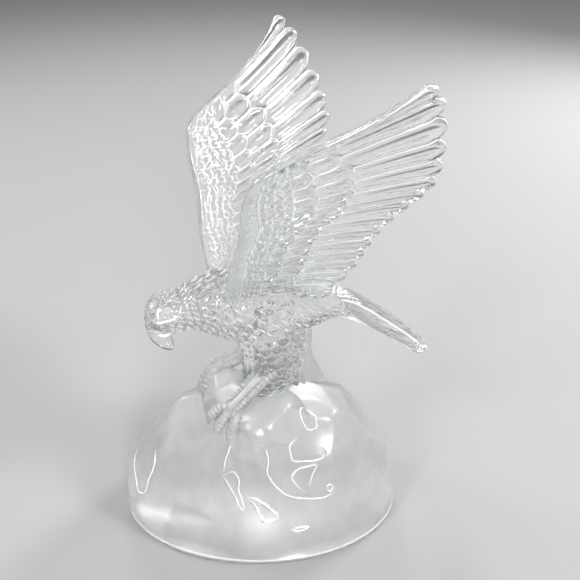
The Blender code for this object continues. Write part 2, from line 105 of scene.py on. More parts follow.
# Thin lips round some of the chips, white as painted highlights: radius, lift off the rock, taper and
# thinnest share at the ends, sides, and rows to a step; then each one's path of turns and rises in degrees
LIP_RADIUS = 0.00026
LIP_LIFT = 0.0001
LIP_TAPER = 8
LIP_END = 0.35
LIP_SIDES = 8
LIP_STEPS = 6
ROCK_LIPS = [
    [(-42, 65.8), (-38.2, 62), (-40.2, 58.5), (-43, 56.5), (-49.5, 58), (-51, 63.8), (-46, 66), (-42, 65.8)],
    [(-60.3, 55.8), (-67, 53.5), (-68.5, 51), (-68.2, 46.2), (-60.8, 45), (-50.8, 43.8), (-46, 49.2)],
    [(-86.8, 54), (-83.8, 50.5), (-83, 46.2), (-84.2, 42), (-81.5, 37.2), (-77.5, 32.8), (-73.5, 30.5),
     (-67.8, 28.8), (-59.3, 26.8), (-54, 26.5), (-50, 28)],
    [(-65.5, 30), (-70.8, 38), (-69.5, 40.2), (-66.2, 42.2), (-61.8, 42.5), (-55, 41.8), (-58.8, 38.2),
     (-63.2, 32.5)],
    [(-107.8, 40.2), (-102.2, 42), (-99.8, 40), (-98.8, 38), (-99.2, 35), (-97.8, 31.3), (-96, 27.2),
     (-96.5, 24.8), (-98.3, 27), (-100.5, 31), (-105, 37), (-107.8, 40.2)],
    [(-94.8, 31.3), (-91.5, 30.8), (-87.8, 28.8), (-84, 26), (-80.8, 22.2), (-83, 20.5), (-85.8, 20),
     (-88, 21.8), (-90.8, 27.5), (-94.8, 31.3)],
    [(-74.8, 14.5), (-71.2, 15.2), (-67.2, 15), (-68.8, 13.8), (-72.2, 13.5), (-74.8, 14.5)],
    [(-54, 30), (-52, 31.6), (-50, 30), (-52, 28.4), (-54, 30)],
    [(-105.5, 53.8), (-107, 47.8), (-108, 41.8)],
    [(-168.8, 32), (-163, 24), (-157, 19.5), (-149, 18.5), (-147.5, 26.3), (-150, 34.2), (-154, 38.8)],
]

# Bird: height in metres from the rock's top to the left wing's tips, and in bird units
BIRD_HEIGHT = 0.158
BIRD_UNITS = 158
UNIT = BIRD_HEIGHT / BIRD_UNITS

# Wing: where the pair stands, in bird units, and how it leans out from the bird's middle plane; its
# camber; the cup of its hand and the share that has it; how much higher the right tip stands and the
# share that is raised; and its flight feathers
WING_ROOT_X = 15.8
WING_ROOT_Z = 66.0
WING_LEAN = 0.355
WING_LEAN_GROWTH = 0.00052
WING_SWEEP = 0.152
WING_CAMBER = 2.5
HAND_CUP = 2.5
HAND_SHARE = 0.12
RIGHT_TIP_RAISE = 5.0
RAISED_SHARE = 0.45
FLIGHT_FEATHERS = 15

# Columns of points to a feather, how much they crowd to its borders, and how far the outermost ones
# keep from a sheet's sides
FEATHER_COLUMNS = 16
COLUMN_CROWDING = 0.6
EDGE_INSET = 0.0005

# Wing outline in side view: place along the wing from tip to root, then Y and Z in bird units
LEADING_EDGE = [
    (0, 8, 136), (0.12, -4, 130.2), (0.22, -13, 124), (0.34, -16.4, 113), (0.51, -16, 97),
    (0.73, -18, 78), (1, -17, 58),
]

# Where feathers at each place of the tips have their roots on the leading edge
LEFT_ROOTS = [
    (0, 0), (0.03, 0.08), (0.1, 0.23), (0.167, 0.32), (0.233, 0.37), (0.3, 0.42), (0.5, 0.56),
    (0.75, 0.78), (1, 1),
]
RIGHT_ROOTS = [
    (0, 0), (0.03, 0.1), (0.1, 0.27), (0.167, 0.38), (0.3, 0.52), (0.45, 0.63), (0.6, 0.73), (1, 1),
]
FEATHER_TIPS = [
    (0, 42, 158), (0.1, 50.5, 149.5), (0.233, 59.4, 130), (0.367, 62, 112.8), (0.5, 53.6, 101.4),
    (0.633, 44.8, 89.7), (0.767, 41.4, 77.2), (0.9, 36.4, 64.5), (1, 28, 51),
]
FEATHER_ARCH = [(0, -2.4), (0.2, 0.4), (0.5, 3), (1, 3)]
WING_THICKNESS = [(0, 0.7), (0.012, 1.7), (0.03, 2.6), (0.06, 3), (0.2, 3.1), (0.57, 2.1), (1, 1)]
WING_TAPER = [(0, 0.52), (0.3, 0.85), (1, 1.1)]

# Smooth leading band: place along the wing and the band's share of the feather, outer and inner face;
# then its section, as shares of its width and relief in bird units
OUTER_BAND = [(0, 0.045), (0.15, 0.055), (0.35, 0.085), (0.75, 0.085), (1, 0.07)]
INNER_BAND = [(0, 0.03), (0.2, 0.025), (1, 0.02)]
BAND_PROFILE = ((0.0, 0.3), (0.35, 1.1), (0.85, 0.76), (1.0, 0.0))

# Place where the rim of the first feather's free side ends; places between which the coverts grow in,
# their length and unevenness; spacing at the leading edge as a share of the tips'; and small scales to
# the wing
FIRST_RIM = 0.012
COVERT_FADE = (0.02, 0.1)
COVERT_LENGTH = [(0, 0.45), (0.1, 0.75), (0.2, 0.95), (0.3, 1)]
COVERT_WANDER = 0.012
ROOT_SPACING = 0.45
SMALL_SCALES = 26

# Feather tiers: share of the feather where each ends, its relief in bird units, its tip's curve, its
# feathers to one flight feather or 0 for small scales, its shift along the wing, and its rows of points
SMALL_ROWS = (0.0, 0.4, 0.8, 1.0)
COVERT_ROWS = (0.0, 0.3, 0.6, 0.78, 0.89, 0.96, 1.0)
FLIGHT_ROWS = (0.0, 0.12, 0.25, 0.38, 0.5, 0.61, 0.7, 0.77, 0.83, 0.875, 0.91, 0.94, 0.965, 0.985, 1.0)
WING_TIERS = [
    (0.072, 1.3, 0.020, 0, 0.5, SMALL_ROWS),
    (0.118, 1.4, 0.022, 0, 0.0, SMALL_ROWS),
    (0.165, 1.5, 0.024, 0, 0.5, SMALL_ROWS),
    (0.212, 1.5, 0.026, 0, 0.0, SMALL_ROWS),
    (0.262, 1.6, 0.028, 0, 0.5, SMALL_ROWS),
    (0.380, 1.6, 0.045, 1, 0.0, COVERT_ROWS),
    (0.570, 1.6, 0.055, 1, 0.5, COVERT_ROWS),
    (1.000, 1.5, 0.075, 1, 0.0, FLIGHT_ROWS),
]
TIER_STEP = 0.006
TIER_BASE_RELIEF = 0.35

# Form of one feather: its rounded tip, its rim, the flute down its middle and how it laps the next
TIP_NOSE = 0.35
TIP_NOSE_START = 0.97
TIP_BOW = 0.3
TIP_FULLNESS = 0.995
TIP_NARROWING = 0.5
RIM_RISE = 0.32
FLUTE_START = 0.3
FLUTE_END = 0.95
FLUTE_DEPTH = 0.85
SHINGLE = 0.35

# Relief on the face away from the viewer; where painted highlights on the tips start along the wing; and
# how far across a feather its painted highlight border starts
FAINTER_RELIEF = 0.12
EDGE_START = 0.05
BORDER_LINE = 0.84

# Body and head: Y and Z of the middle, half height, half width, all in bird units from beak to tail
BODY_SECTIONS = [
    (-50.8, 56.5, 3.5, 2.2), (-49.8, 56.3, 6.4, 4.2), (-46.5, 55.4, 8.2, 5.8), (-41, 54.4, 8.9, 7.2),
    (-34, 54.1, 9.6, 8), (-27, 54.5, 12, 9.6), (-18, 53.2, 15.6, 12.6), (-8, 50.6, 18.2, 15.2),
    (4, 47.4, 19.2, 16.4), (16, 44, 17.6, 15.6), (28, 41.2, 13.4, 13), (38, 38.6, 9.4, 10.2),
    (46, 35.2, 6.6, 7.6), (52, 31.5, 4, 5),
]
BODY_RELIEF = 1.3
SMOOTH_FACE_SHARE = 0.17
HEADING_STEP = 0.01

# Small feathers of the body: how far each reaches over the next row, how its tip curves back, how
# unlike its neighbours it is, and its section from root to tip
SCALE_COLUMNS = 5
SCALE_FADE = 0.07
SCALE_REACH = 1.2
SCALE_CURVE = 0.75
SCALE_CURVE_POWER = 1.6
SCALE_UNEVEN = 0.3
SCALE_WANDER = 0.25
SCALE_WANDER_SEED = 40
SCALE_STEP = 0.06
SCALE_GAP = 0.0005
SCALE_RISE_POWER = 0.7
SCALE_SIDES = 0.8
SCALE_HOLLOW = 0.3
SCALE_PARTS = (0.0, 0.35, 0.75, 1.0)

# Hooked beak: the same four values along the curve from inside the head to the tip, and no relief
BEAK_SECTIONS = [
    (-43.8, 54.5, 6.8, 4.6), (-46.2, 50, 5.6, 4.2), (-45.6, 44, 4.7, 3.4), (-43.6, 39, 3.5, 2.4),
    (-41.7, 35.8, 2, 1.3), (-41, 34.7, 0.8, 0.6),
]
BEAK_RELIEF = 0.0

# Brow over the left eye: X, Y, Z and radius; then the eye's middle and radius
BROW = [(3.4, -47.4, 60.6, 0.7), (4.6, -44, 62, 1.2), (5.2, -40, 62.2, 1.2), (5.8, -36, 61.4, 0.7)]
EYE_PLACE = (5.4, -42.6, 59.6)
EYE_RADIUS = 1.6

# Lines on each side of the face, each a thickness and a path of Y and Z: over the lid, along the gape
# and in a ring round the eye; then the least square of the head's width, as a share, to lay them at
FACE_LINES = [
    (0.40, [(-46.9, 56.4), (-46.8, 59.2), (-45.2, 61.2), (-42.6, 61.9), (-40, 61), (-39, 58.6),
            (-39.2, 56.6)]),
    (0.50, [(-47.6, 54.6), (-46, 54.2), (-44.4, 54.7), (-42, 54.9), (-40.4, 55.5), (-39.2, 56.6)]),
    (0.26, [(-41.1, 59.6), (-41.6, 60.7), (-42.6, 61.1), (-43.7, 60.7), (-44.1, 59.6), (-43.7, 58.5),
            (-42.6, 58.1), (-41.6, 58.5), (-41.1, 59.6)]),
]
FLATTEST_SIDE = 0.1

# Beak: X, Y, Z and radius along the edge of its left side, its front ridge and its lower half; then the
# left nostril's middle and half sizes
BEAK_EDGE = [(3.3, -47.4, 46.8, 0.6), (3.7, -44.8, 45.4, 0.7), (3, -41.4, 45.4, 0.6)]
BEAK_RIM = [
    (0, -50.9, 55, 0.8), (0, -50.4, 50.5, 1), (0, -48.6, 45, 1), (0, -45.4, 39.4, 0.9),
    (0, -42, 35.6, 0.6),
]
LOWER_BEAK = [(0, -36, 50, 5.4), (0, -40, 47.4, 4.2), (0, -43, 45.6, 2.6)]
NOSTRIL = (3.5, -48.6, 57.4, 0.9, 1.3, 0.9)
SIDEWAYS = (1.0, 0.0, 0.0)

# Thighs and belly: X, Y, Z, half depth and half width, from the hip down to the rock
LEFT_THIGH = [
    (5, 10, 44.5, 13, 9), (8, 9.5, 30.5, 13, 8), (10, 8, 18, 12, 7), (10.5, 5.5, 8, 11, 6),
    (10.5, 3.5, 0.5, 9, 4.6),
]
RIGHT_THIGH = [
    (-5.2, 10.3, 46.8, 12.6, 8.8), (-8, 9, 30, 12.5, 8), (-10, 6.5, 20, 10.5, 7),
    (-10.5, 3.5, 12, 8.5, 5.6), (-10.5, 1.5, 6, 6.5, 4.4),
]
BELLY = [
    (0, 10.4, 40, 18.6, 12.8), (0, 11, 26, 18.4, 12), (0, 11.5, 12, 17.6, 12), (0, 12.5, 1, 20.5, 13),
    (0, 14, -20, 29, 16.5),
]

# Share down a thigh where its feathers fade into a smooth hem
HEM_START = 0.84
HEM_END = 0.93

# Strands round the belly: number, depth, sway down the belly and unevenness, each with its waves; and
# the Y behind which the belly is satin rock
STRANDS = 15
STRAND_DEPTH = 1.3
STRAND_SWAY = 0.08
SWAY_WAVES = 5
STRAND_UNEVEN = 0.3
UNEVEN_WAVES = (7, 9)
BELLY_ROWS = 18
BELLY_SIDES = 180
SATIN_BACK = 17.0

# Legs and toes: X, Y, Z and radius along each, in bird units
LEFT_LEG = [(11, 4, 15, 4.6), (12, -5, 9.5, 4.6), (12.2, -13, 2.5, 4.6), (11.8, -19, -2.8, 4.2)]
RIGHT_LEG = [(-9, 3.5, 15.5, 4.4), (-10, -2.5, 11, 4), (-10.6, -9.5, 8.6, 4.1), (-10.6, -18, 6.2, 4)]
LEFT_TOES = [
    [(11.6, -15.5, 0.6, 3), (7.4, -22.6, -2, 2.5), (5.8, -27.4, -6.5, 2.2), (5.6, -28.8, -12, 0.7)],
    [(12, -16.5, -0.4, 2.9), (12.2, -22.8, -5, 2.5), (12.2, -26.2, -10, 2.2),
     (12, -27, -15.5, 0.7)],
    [(12.6, -15.5, -1.6, 2.8), (16.8, -19.8, -6.8, 2.4), (18.2, -22.4, -12, 2.1),
     (18.6, -23.2, -18, 0.7)],
]
RIGHT_TOES = [
    [(-10.5, -14, 9, 2.8), (-7, -20.3, 7.2, 2.4), (-5.8, -25.6, 2, 2.1), (-5.4, -27.2, -5.5, 0.7)],
    [(-10.8, -14.5, 8.4, 2.8), (-10.9, -21.4, 5.4, 2.5), (-10.8, -26, -0.8, 2.2),
     (-10.6, -27.2, -8, 0.7)],
    [(-11.4, -13.5, 7.4, 2.7), (-15.4, -18.8, 3, 2.3), (-17, -22, -4.6, 2),
     (-17.4, -22.8, -12, 0.7)],
]

# Beads on toes and ropes: number, height, the power that rounds them, and the share where they end, at
# the toe's claw or past the rope's end; then a bead's middle height
TOE_BEADS = (10, 0.34, 0.7, 0.86)
ROPE_BEADS = (13, 0.55, 0.6, 2.0)
BEAD_MIDDLE = 0.6

# Leg's core and its swelling, as shares of its radius; the ropes' radius in bird units; and how far to
# the side and to the front they lie, as shares of the leg's radius
LEG_CORE = 0.84
LEG_SWELL = 0.06
ROPE_RADIUS = 1.55
ROPE_OUT = 0.86
ROPE_FRONT = 0.42

# Rows of small feathers, and feathers round each form that they coat
BODY_SCALES = (26, 24)
BEAK_SCALES = (8, 8)
LEFT_THIGH_SCALES = (12, 13)
RIGHT_THIGH_SCALES = (10, 13)

# Rows and sides of points on each limb and lump
LEG_GRID = (24, 24)
ROPE_GRID = (78, 10)
TOE_GRID = (46, 14)
BROW_GRID = (16, 12)
FACE_LINE_GRID = (24, 8)
BEAK_EDGE_GRID = (12, 8)
BEAK_RIM_GRID = (20, 10)
LOWER_BEAK_GRID = (16, 24)
STUMP_GRID = (36, 64)
EYE_GRID = (14, 24)
NOSTRIL_GRID = (10, 16)

# Rock stump in the talons: X, Y, Z of the middle and the three half sizes, in bird units
STUMP = (0, -16, -6, 12.4, 13, 18)

# Flat facets struck on the stump: turn and rise in degrees, distance from its heart as a share; then how
# soft their edges are and the least cosine to divide by
STUMP_FACETS = [
    (-60, 5, 0.86), (-95, 40, 0.88), (-20, 35, 0.87), (-130, 0, 0.86), (-15, -25, 0.88), (-80, -45, 0.9),
    (-170, 40, 0.88), (60, 60, 0.88), (-60, 75, 0.9),
]
FACET_SOFTNESS = 0.035
LEAST_FACING = 0.05

# Tail fan: place along it, then Y and Z of its middle, half width, droop of its sides, half thickness
TAIL_LINE = [
    (0, 34, 40, 7, 0.5, 4.5), (0.25, 48, 35.8, 10, 1, 3.6), (0.6, 69.5, 20.6, 15.8, 1.5, 2.6),
    (0.85, 87, 6.4, 20.4, 2, 1.8), (1, 98, -3, 22.6, 2.4, 1.3),
]

# Its feathers; how much shorter the outer ones are and how deep their tips are parted; their relief,
# which grows in over the first quarter; and half widths of a feather to the tail's length
TAIL_FEATHERS = 5
TAIL_COLUMNS = 16
TAIL_ROWS = (0.0, 0.1, 0.2, 0.3, 0.4, 0.5, 0.6, 0.68, 0.76, 0.82, 0.87, 0.91, 0.94, 0.965, 0.985, 1.0)
TAIL_SHORTENING = 0.11
TAIL_NOTCH = 0.09
TAIL_RELIEF = 1.3
TAIL_RELIEF_START = 4
TAIL_HALF_FEATHERS = 18

# Camera: place in metres, turn of its level right hand from +Y towards +X, pitch down, and focal
# length in pixels of the 580 pixel frame
CAMERA_PLACE = Vector((0.2313, -0.0967, 0.2953))
CAMERA_TURN = math.radians(26.5)
CAMERA_PITCH = math.radians(32.06)
FOCAL_PIXELS = 638.7
FRAME_PIXELS = 580
SENSOR_WIDTH = 36.0
CLIP_START = 0.01

# Soft lights round the figurine: first turn, reach, two heights, size, target and each one's power
LIGHT_TURN = -75
LIGHT_REACH = 1.2
LIGHT_HEIGHTS = (1.2, 0.64)
LIGHT_SIZE = 0.33
LIGHT_TARGET = (0.0, 0.0, 0.12)
LIGHT_POWERS = (10.0, 15.0, 16.0, 16.0, 9.0, 7.0)

# Room: height of a direction, 0 at the horizon and 1 straight up, where its tone is white; grey and blue
ROOM_TONES = [
    (0.0, 0.22, 0.22), (0.08, 0.12, 0.1212), (0.33, 0.06, 0.0606), (0.43, 0.8, 0.808), (0.62, 1.0, 1.01),
]
ROOM_STRENGTH = 0.6
FLOOR_REACH = 9.0
FLOOR_GAP = 0.0002
FLOOR_COLOUR = (0.28, 0.28, 0.278, 1.0)
FLOOR_ROUGHNESS = 0.8
FLOOR_SHINE = 0.1

# Places of the four finishes in GLASS, the last two painted highlights, and the index of refraction that
# they share
SATIN, CLEAR, LINE_HIGHLIGHT, PAINTED_HIGHLIGHT = range(4)
GLASS_IOR = 1.54


def knot_values(knots, places):
    """Smooth values at many places between knots, each a place followed by its values."""
    table = np.array(knots, float)
    marks, values = table[:, 0], table[:, 1:]
    places = np.clip(places, marks[0], marks[-1])
    index = np.clip(np.searchsorted(marks, places, side="right") - 1, 0, len(marks) - 2)
    low = np.maximum(np.arange(len(marks)) - 1, 0)
    high = np.minimum(np.arange(len(marks)) + 1, len(marks) - 1)
    slopes = (values[high] - values[low]) / (marks[high] - marks[low])[:, None]
    gap = (marks[index + 1] - marks[index])[..., None]
    share = (places - marks[index])[..., None] / gap
    square = share ** 2
    cube = share ** 3
    return (values[index] * (2 * cube - 3 * square + 1) + slopes[index] * gap * (cube - 2 * square + share)
            + values[index + 1] * (3 * square - 2 * cube) + slopes[index + 1] * gap * (cube - square))


def even_knots(points):
    """Give a list of points even places from 0 to 1."""
    return [(i / (len(points) - 1), *point) for i, point in enumerate(points)]


def from_pairs(pairs, places):
    """Straight-line values at many places between pairs of place and number."""
    return np.interp(places, *np.transpose(pairs))


def smooth_step(low, high, values):
    """Ease from 0 to 1 as the values go from low to high."""
    share = np.clip((values - low) / (high - low), 0.0, 1.0)
    return share * share * (3 - 2 * share)


def soft_least(values, others, softness):
    """The lesser of two values, rounded off where they are nearly the same."""
    blend = np.clip(0.5 + 0.5 * (values - others) / softness, 0, 1)
    return values * (1 - blend) + others * blend - softness * blend * (1 - blend)


def from_bird(points):
    """Points in bird units above the rock's top, in metres."""
    return points * UNIT + np.array((0.0, 0.0, ROCK_HEIGHT))


def unit(vectors):
    """Vectors made one long."""
    return vectors / np.linalg.norm(vectors, axis=-1, keepdims=True)


def uneven(number, seed):
    """A steady value from -1 to 1 for each whole number."""
    return np.sin(number * 12.9898 + seed * 78.233) * np.cos(number * 4.1414 + seed * 3.7)


def add_object(name, data):
    """A new object in the scene."""
    added = bpy.data.objects.new(name, data)
    bpy.context.collection.objects.link(added)
    return added


def make_object(name, points, faces, surface):
    """A closed mesh object whose faces point out; surface is its finish's place in GLASS."""
    mesh = bpy.data.meshes.new(name)
    mesh.from_pydata(points.tolist(), [], faces)
    mesh.calc_loop_triangles()
    triangles = np.zeros(len(mesh.loop_triangles) * 3, np.int32)
    mesh.loop_triangles.foreach_get("vertices", triangles)
    a, b, c = (points[triangles[i::3]] for i in range(3))
    if np.einsum("ij,ij->i", a, np.cross(b, c)).sum() < 0:
        mesh.flip_normals()
    for material in GLASS:
        mesh.materials.append(material)
    mesh.polygons.foreach_set("material_index", np.full(len(mesh.polygons), surface, np.int32))
    return add_object(name, mesh)


def paint_highlight(piece, grid, chosen):
    """Give chosen faces the white edge finish, a painted highlight; the piece's first faces lie in a grid of
    this shape.
    """
    surfaces = np.zeros(len(piece.data.polygons), np.int32)
    piece.data.polygons.foreach_get("material_index", surfaces)
    surfaces[:math.prod(grid)].reshape(grid)[chosen] = PAINTED_HIGHLIGHT
    piece.data.polygons.foreach_set("material_index", surfaces)


def loft(name, rings, surface):
    """Close an array of rings, rows by sides by 3, into a solid with a point in each end."""
    rows, sides = rings.shape[:2]
    points = np.vstack([rings.reshape(-1, 3), rings[0].mean(axis=0), rings[-1].mean(axis=0)])
    faces = []
    for row in range(rows - 1):
        for side in range(sides):
            a = row * sides + side
            b = row * sides + (side + 1) % sides
            faces.append((a, b, b + sides, a + sides))
    for row, centre in ((0, rows * sides), (rows - 1, rows * sides + 1)):
        for side in range(sides):
            pair = (row * sides + side, row * sides + (side + 1) % sides)
            faces.append((*(pair if row else pair[::-1]), centre))
    return make_object(name, points, faces, surface)


def sheet(name, front, back, surface):
    """Close two arrays, columns by rows by 3, into a solid sheet."""
    columns, rows = front.shape[:2]
    points = np.vstack([front.reshape(-1, 3), back.reshape(-1, 3)])
    offset = columns * rows
    faces = []
    for i in range(columns - 1):
        for j in range(rows - 1):
            a, b = i * rows + j, (i + 1) * rows + j
            faces.append((a, b, b + 1, a + 1))
            faces.append((offset + a + 1, offset + b + 1, offset + b, offset + a))
    for i in range(columns - 1):
        a, b = i * rows, (i + 1) * rows
        faces.append((offset + a, offset + b, b, a))
        a, b = a + rows - 1, b + rows - 1
        faces.append((a, b, offset + b, offset + a))
    for j in range(rows - 1):
        faces.append((j, j + 1, offset + j + 1, offset + j))
        a = (columns - 1) * rows + j
        faces.append((offset + a, offset + a + 1, a + 1, a))
    return make_object(name, points, faces, surface)


def feather_form(across, inland):
    """Height of a cast feather: a rounded rim round its outline and a flute down its middle."""
    narrowing = 1 - across ** 2 * TIP_NARROWING
    edge = 1 - np.sqrt(across ** 2 + np.clip(1 - inland, 0, 1) ** 2 * narrowing)
    rim = np.sqrt(np.clip(1 - (1 - np.clip(edge / RIM_RISE, 0, 1)) ** 2, 0, 1))
    return rim - FLUTE_DEPTH * smooth_step(FLUTE_START, FLUTE_END, edge)


def tip_drop(across):
    """How far a feather's rounded tip falls back at its sides, from 0 to 1."""
    return TIP_BOW * across ** 2 + (1 - TIP_BOW) * (1 - np.sqrt(1 - TIP_FULLNESS * across ** 2))


def wing_middle(place, along, tip_raise, roots):
    """Points on the left wing's middle sheet in bird units; place by column, along by column and row."""
    root = knot_values(LEADING_EDGE, from_pairs(roots, place))
    tip = knot_values(FEATHER_TIPS, place)
    tip[:, 1] += tip_raise * np.exp(-(place / RAISED_SHARE) ** 2)
    chord = tip - root
    side = unit(np.stack([-chord[:, 1], chord[:, 0]], 1))
    arch = from_pairs(FEATHER_ARCH, place)[:, None] * 4 * along * (1 - along)
    flat = root[:, None] + chord[:, None] * along[..., None] + side[:, None] * arch[..., None]
    rise = flat[..., 1] - WING_ROOT_Z
    lean = WING_ROOT_X + WING_LEAN * rise + WING_LEAN_GROWTH * rise ** 2 + WING_SWEEP * flat[..., 0]
    belly = np.sin(math.pi * np.clip(along, 0, 1))
    cup = HAND_CUP * np.exp(-(place / HAND_SHARE) ** 2)[:, None] * belly
    return np.stack([lean - WING_CAMBER * belly + cup, flat[..., 0], flat[..., 1]], 2)


def wing_rows(place, roots, leading_band):
    """Share along the feather, relief, and whether it is on a border line, of every point."""
    tips = knot_values(FEATHER_TIPS, place)
    root_place = from_pairs(roots, place)
    edge = knot_values(LEADING_EDGE, root_place)
    chord = np.linalg.norm(tips - edge, axis=1)
    tip_spacing = np.linalg.norm(np.gradient(tips, place, axis=0), axis=1) / FLIGHT_FEATHERS
    edge_length = np.linalg.norm(np.diff(edge, axis=0), axis=1).sum()
    fade = smooth_step(*COVERT_FADE, place)
    band = from_pairs(leading_band, place)
    shortened = from_pairs(COVERT_LENGTH, place)
    alongs, reliefs, lines = [], [], []
    for share, relief in BAND_PROFILE:
        alongs.append(band * share)
        reliefs.append(np.full(len(place), relief))
        lines.append(np.zeros(len(place), bool))
    start = band + 0.5 * TIER_STEP
    for number, (end, relief, curve, multiple, shift, shares) in enumerate(WING_TIERS):
        flight = end == 1
        count = (place * FLIGHT_FEATHERS * multiple if multiple else root_place * SMALL_SCALES) + shift
        across = 2 * (count - np.floor(count)) - 1
        spacing = tip_spacing * (ROOT_SPACING + (1 - ROOT_SPACING) * end)
        half = 0.5 * (spacing if multiple else edge_length / SMALL_SCALES)
        strength = 1.0 if flight else fade
        wander = 0.0 if flight else COVERT_WANDER * uneven(np.floor(count), number) * fade
        reach = 1.0 if flight else band + (end - band) * shortened
        tip = reach + wander - curve * tip_drop(across) * strength
        tip = np.maximum(tip, start + TIER_STEP)
        for share in shares:
            along = start + (tip - start) * share
            lift = TIER_BASE_RELIEF + (1 - TIER_BASE_RELIEF) * share
            inland = (tip - along) * chord / half
            alongs.append(along)
            form = feather_form(across, inland) * (1 + SHINGLE * across)
            reliefs.append(relief * lift * strength * form)
            lines.append((np.abs(across) > BORDER_LINE) & (multiple > 0) & (strength > 0))
        start = tip + TIER_STEP
    along = np.stack(alongs, 1)
    rim = (1 - along) * smooth_step(FIRST_RIM, 0.0, place)[:, None]
    return along, np.maximum(np.stack(reliefs, 1), rim), np.stack(lines, 1)


def make_wing(name, hand):
    """One raised wing; hand is 1 for the left wing and -1 for the right."""
    columns = FLIGHT_FEATHERS * FEATHER_COLUMNS
    count = np.arange(columns + 1) / FEATHER_COLUMNS
    crowded = count - COLUMN_CROWDING * np.sin(4 * math.pi * count) / (4 * math.pi)
    place = np.clip(crowded / FLIGHT_FEATHERS, EDGE_INSET, 1 - EDGE_INSET)
    normal = np.array((1.0, -WING_SWEEP, -WING_LEAN))
    normal /= np.linalg.norm(normal)
    mirror = np.array((hand, 1.0, 1.0))
    faces = []
    roots = LEFT_ROOTS if hand > 0 else RIGHT_ROOTS
    for facing, band in ((1, OUTER_BAND), (-1, INNER_BAND)):
        along, relief, lines = wing_rows(place, roots, band)
        relief *= 1.0 if facing == hand else FAINTER_RELIEF
        if facing == hand:
            borders = lines[:-1, :-1] & lines[1:, :-1]
        middle = wing_middle(place, along, RIGHT_TIP_RAISE if hand < 0 else 0.0, roots)
        half = from_pairs(WING_THICKNESS, along) * from_pairs(WING_TAPER, place)[:, None]
        nose = 1 - TIP_NOSE * smooth_step(TIP_NOSE_START, 1.0, along / along[:, -1:])
        depth = (half * nose + relief)[..., None]
        faces.append(from_bird((middle + facing * normal * depth) * mirror))
    piece = sheet(name, *faces, CLEAR)
    # Painted highlights on bright tips, which are the steps at the ends of the tiers, on the feather
    # borders, and on the wing's outline
    lengths = [len(BAND_PROFILE)] + [len(tier[-1]) for tier in WING_TIERS[:-1]]
    tips = np.isin(np.arange(borders.shape[1]), np.cumsum(lengths)[1:] - 1)
    tips = tips & (place[:-1] > EDGE_START)[:, None]
    tips[:, -1] = True
    seen = np.array((hand > 0, hand < 0))
    paint_highlight(piece, (*borders.shape, 2), (tips | borders)[..., None] & seen)
    return piece


def scaled_loft(name, sections, point_at, grid, depth):
    """Loft a form coated with rows of small feathers; point_at takes knots, share, turn and swell."""
    knots = even_knots(sections)
    rows, scales = grid
    sides = scales * SCALE_COLUMNS
    turn = 2 * math.pi * (np.arange(sides) + 0.5) / sides
    rings = [point_at(knots, np.zeros(sides), turn, np.zeros(sides))]
    last = np.zeros(sides)
    for row in range(rows):
        place = np.arange(sides) / SCALE_COLUMNS + 0.5 * (row % 2)
        feather = np.floor(place) % scales
        across = 2 * (place - np.floor(place)) - 1
        size = 1 + SCALE_UNEVEN * uneven(feather, row)
        start = last + SCALE_STEP / rows
        wander = SCALE_WANDER * uneven(feather, row + SCALE_WANDER_SEED)
        curve = SCALE_CURVE * np.abs(across) ** SCALE_CURVE_POWER
        tip = (row + SCALE_REACH + wander - curve) / rows
        tip = np.minimum(np.maximum(tip, start + SCALE_STEP / rows), 1 - (rows - 1 - row) * SCALE_GAP)
        for part in SCALE_PARTS:
            rim = part ** SCALE_RISE_POWER * (1 - SCALE_SIDES * across ** 2)
            hollow = SCALE_HOLLOW * math.sin(math.pi * part) * (1 - across ** 2)
            along = start + (tip - start) * part
            rings.append(point_at(knots, along, turn, depth * size * (rim - hollow)))
        last = tip
    piece = loft(name, from_bird(np.stack(rings)), CLEAR)
    if depth > 0:
        # Painted highlights: the steps between rows of feathers take the white edge finish
        steps = np.arange(len(rings) - 1) % len(SCALE_PARTS) == 0
        paint_highlight(piece, (len(steps), sides), steps)
    return piece


def heading_at(knots, share, size):
    """Unit directions along knots, of the first few of their values."""
    ahead = knot_values(knots, np.minimum(share + HEADING_STEP, 1.0))[..., :size]
    behind = knot_values(knots, np.maximum(share - HEADING_STEP, 0.0))[..., :size]
    return unit(ahead - behind)


def spine_points(knots, share, turn, swell):
    """Points round the bird's middle line, which swell only behind the smooth face."""
    y, z, half_height, half_width = knot_values(knots, share).T
    heading = heading_at(knots, share, 2)
    grow = swell * np.clip((share - SMOOTH_FACE_SHARE) / SCALE_FADE, 0, 1)
    lift = np.cos(turn) * (half_height + grow)
    return np.stack([np.sin(turn) * (half_width + grow), y - heading[:, 1] * lift,
                     z + heading[:, 0] * lift], 1)


def down_points(knots, share, turn, swell):
    """Points of level rings down a thigh or the belly."""
    x, y, z, half_depth, half_width = knot_values(knots, share).T
    swell = swell * smooth_step(HEM_END, HEM_START, share)
    return np.stack([x + np.sin(turn) * (half_width + swell), y + np.cos(turn) * (half_depth + swell), z], 1)


def make_belly():
    """The belly with long strands of feathers, satin at the back where the rock climbs it."""
    knots = even_knots(BELLY)
    turn = 2 * math.pi * (np.arange(BELLY_SIDES) + 0.5) / BELLY_SIDES
    rings = []
    for share in np.linspace(0, 1, BELLY_ROWS + 1):
        weave = turn + STRAND_SWAY * math.sin(SWAY_WAVES * share)
        wave = np.sin(UNEVEN_WAVES[0] * weave + UNEVEN_WAVES[1] * share)
        strand = np.abs(np.sin(STRANDS * weave)) * (1 + STRAND_UNEVEN * wave)
        rings.append(down_points(knots, share + 0 * turn, turn, STRAND_DEPTH * (strand - 0.5)))
    piece = loft("belly", from_bird(np.stack(rings)), CLEAR)
    surfaces = [SATIN if face.center.y > SATIN_BACK * UNIT else CLEAR for face in piece.data.polygons]
    piece.data.polygons.foreach_set("material_index", surfaces)
    return piece


